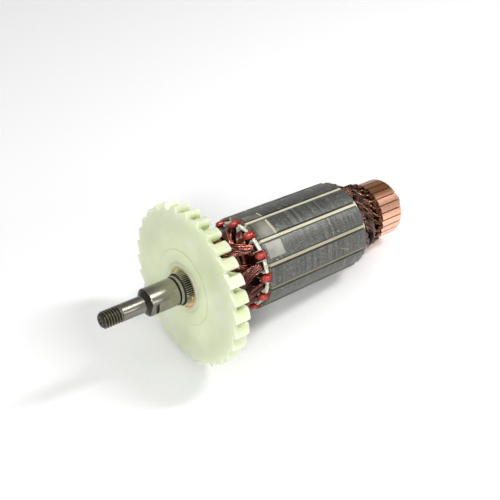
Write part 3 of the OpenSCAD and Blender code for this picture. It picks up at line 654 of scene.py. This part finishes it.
for number in range(1, coils + 1):
    draw = np.random.default_rng(number)
    phase = draw.uniform(0, 2 * np.pi, (3, strand_count, 1))
    swing = ring_turn + 0.3 * np.sin(loop + phase[0, 0]) + 0.12 * np.sin(2 * loop + phase[1])
    spread = ring_size * (0.95 + 0.05 * np.sin(3 * loop + phase[2]))
    outer = np.split(spread * np.cos(swing), 2, 1)
    lift = np.split(spread * np.sin(swing), 2, 1)
    drift = draw.normal(0, 2.2, (strand_count, 1)) * (1 + outer[0][:, :1])
    front = coil_head(number, along_head, front_head, outer[0], lift[0], drift)
    rear = coil_head(number, along_head[::-1], rear_head, outer[1], lift[1], drift)
    radius, angle = [np.concatenate([a, b], 1) for a, b in zip(front[:2], rear[:2])]
    around = np.radians(angle)
    outward = np.stack([0 * around, -np.sin(around), np.cos(around)], -1)
    paths = radius[..., None] * outward
    paths[..., 0] = np.concatenate([core_from - front[2], core_to + rear[2]], 1)
    coil = wires(f"coil_{number}_wires", paths, outward, wire_d / 2, 6, True, enamel)
    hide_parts(f"coil_{number}")
    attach(coil, "root")

# Commutator moulding. Black resin that is pressed in between the bars and holds them by their
# feet. It sits on the shaft, and its fins show as the dark lines between the bars.
fin_r = 10.9
resin, tree, shader = surface("black_resin")
x, r, turn, place = shaft_coordinates(tree)
dust = noise(tree, place, 1.5, 4, 0.6)
black = ramp(tree, dust, [(0.3, (0.020, 0.012, 0.008)), (0.7, (0.070, 0.045, 0.030))])
between_bars = between(tree, r, fin_r, fin_r + 0.2, 0.0, 0.8)
black = blend_colours(tree, between_bars, black, (0.16, 0.060, 0.028))
dress(shader, black, dust, 0.35, 0.6, relief(tree, dust, 0.00004))
give(resin, "commutator_moulding")

# Commutator bars. Hard drawn copper segments, turned bright on their running surface after
# moulding. Each ends in a hook that is closed over two wire ends and dark with varnish.
bars, first_bar, bar_pitch, bar_r, track_from = 24, 5, 15.0, 11.7, 122.2
copper_bar, tree, shader = surface("turned_copper", metallic=1.0)
x, r, turn, place = shaft_coordinates(tree)
lines = noise(tree, stretched(tree, place, 7, 0.3), 1.0, 5, 0.7)
segment = calc(tree, "ROUND", times(tree, plus(tree, turn, first_bar / 360), bars))
shade = add(tree, "TexWhiteNoise", {"W": segment}, noise_dimensions="1D").outputs["Value"]
mixed = plus(tree, times(tree, lines, 0.85), times(tree, shade, 0.15))
bright = ramp(tree, mixed, [
    (0.30, (0.80, 0.36, 0.22)),
    (0.50, (0.92, 0.52, 0.36)),
    (0.70, (0.98, 0.68, 0.52)),
])
# Painted reflection: the bars along the upper side take a dark orange-brown.
top_dark_reflection = times(tree, between(tree, turn, -0.09, -0.03, 0.0, 0.9), between(tree, turn, 0.30, 0.12))
bright = blend_colours(tree, top_dark_reflection, bright, (0.32, 0.125, 0.035))
hooked = between(tree, x, track_from + 0.3, track_from - 0.3)
patch = noise(tree, place, 0.7, 4, 0.6)
dark = ramp(tree, patch, [(0.35, (0.025, 0.010, 0.006)), (0.65, (0.20, 0.075, 0.034))])
bright = blend_colours(tree, hooked, bright, dark)
dress(shader, bright, lines, 0.2, 0.42, relief(tree, lines, 0.00002, 0.0001))
give(copper_bar, *[f"bar_{number + 1}" for number in range(bars)])

# Coil leads. Two wire ends for each hook run twisted from the slots over the rear coil heads,
# dip to the commutator and lie in the hook's eye. Dark varnish is dripped over them.
lead_d, hook_h, eye_r, from_slot = 0.8, 12.5, bar_r + 0.475, 4
ends, twists = 4, 2.5  # single wires in a lead, and how often they turn round each other
heights = np.array([3, 6, 9.5, 10.4, 11.3, 12.5, 13.0])
eye_heights, eye_angles = np.array([1.2, 1.65, 1.65]), np.array([-6, -3.5, 2])
looseness = np.array([0.3, 1, 1, 1, 0.9, 0.5, 0.2])
stray_along, stray_inwards, stray_round = 0.35, 0.45, 3.0  # mm, mm and degrees


def lead_knots():
    """Knots of every single wire (ends * bars, knots, 3), lead by lead from its slot to its
    hook: the radius falls by a smooth step and the angle goes evenly, each knot strays by a
    seeded amount, and the last three lie in the hook's eye."""
    lead = np.arange(bars)
    start_r = shallow_r + shallow_half[0]
    start_angle = first_slot + slot_pitch * (lead // 2 - 1) + np.where(lead % 2 == 0, -from_slot, from_slot)
    end_angle = first_bar + bar_pitch * (lead - 0.5)
    hook_angle = first_bar + bar_pitch * lead[:, None]
    drop = smooth_step((heights - 2) / 10.3)
    share = np.minimum(1, (heights - 3) / 9.9)
    angle = start_angle[:, None] + (end_angle - start_angle)[:, None] * share
    angle = np.concatenate([angle, hook_angle + eye_angles], 1)
    radius = np.concatenate([start_r + (eye_r - start_r) * drop, np.full(len(eye_angles), eye_r)])
    station = np.concatenate([core_to + heights, core_to + hook_h + eye_heights])
    stray = np.random.default_rng(3).normal(0, 1, (3, ends, bars, len(heights))) * looseness
    stray = np.pad(stray, ((0, 0), (0, 0), (0, 0), (0, len(eye_angles)))).reshape(3, ends * bars, -1)
    station = station + stray_along * stray[0]
    radius = radius - stray_inwards * np.abs(stray[1]) + 0.15
    around = np.radians(np.tile(angle, (ends, 1)) + stray_round * stray[2])
    return np.stack([station, -radius * np.sin(around), radius * np.cos(around)], -1)


def through(knots, steps):
    """Smooth curve through knots (curves, knots, 3). Between knots b and c, with a before them
    and d after, it is 0.5 * (2b + (c - a)t + (2a - 5b + 4c - d)t^2 + (3b - a - 3c + d)t^3)."""
    before, after = 2 * knots[:, :1] - knots[:, 1:2], 2 * knots[:, -1:] - knots[:, -2:-1]
    padded = np.concatenate([before, knots, after], 1)
    a, b, c, d = [padded[:, k:k + knots.shape[1] - 1, None] for k in range(4)]
    t = (np.arange(steps) / steps)[:, None]
    curve = 2 * b + (c - a) * t + (2 * a - 5 * b + 4 * c - d) * t ** 2 + (3 * b - a - 3 * c + d) * t ** 3
    return np.concatenate([(0.5 * curve).reshape(len(knots), -1, 3), knots[:, -1:]], 1)


centre = through(lead_knots(), 5)
outward = unit(centre * [0, 1, 1])
run = unit(np.gradient(centre, axis=1))
side = unit(np.cross(run, outward))
out = np.cross(side, run)
twist = np.linspace(0, 2 * np.pi * twists, centre.shape[1])[:, None]
twist = twist + np.repeat(np.arange(ends) * 2 * np.pi / ends, bars)[:, None, None]
lead_paths = centre + lead_d / 4 * (np.cos(twist) * out + np.sin(twist) * side)
varnished, tree, shader = surface("varnished_wire", metallic=0.85, coat_weight=0.55, coat_roughness=0.05)
x, r, turn, place = shaft_coordinates(tree)
tint = add(tree, "Attribute", attribute_name="wire_tint").outputs["Fac"]
drips = noise(tree, place, 0.6, 3)
copper = ramp(tree, tint, [
    (0.0, (0.11, 0.036, 0.014)),
    (0.6, (0.34, 0.115, 0.040)),
    (1.0, (0.95, 0.50, 0.27)),
])
copper = blend_colours(tree, times(tree, drips, 0.95), copper, (0.030, 0.010, 0.005))
dress(shader, copper, drips, 0.14, 0.40, relief(tree, noise(tree, place, 2.5, 3), 0.00012))
leads = wires("coil_lead_wires", lead_paths, outward, lead_d / 4, 6, False, varnished)
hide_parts("coil_leads")
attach(leads, "root")
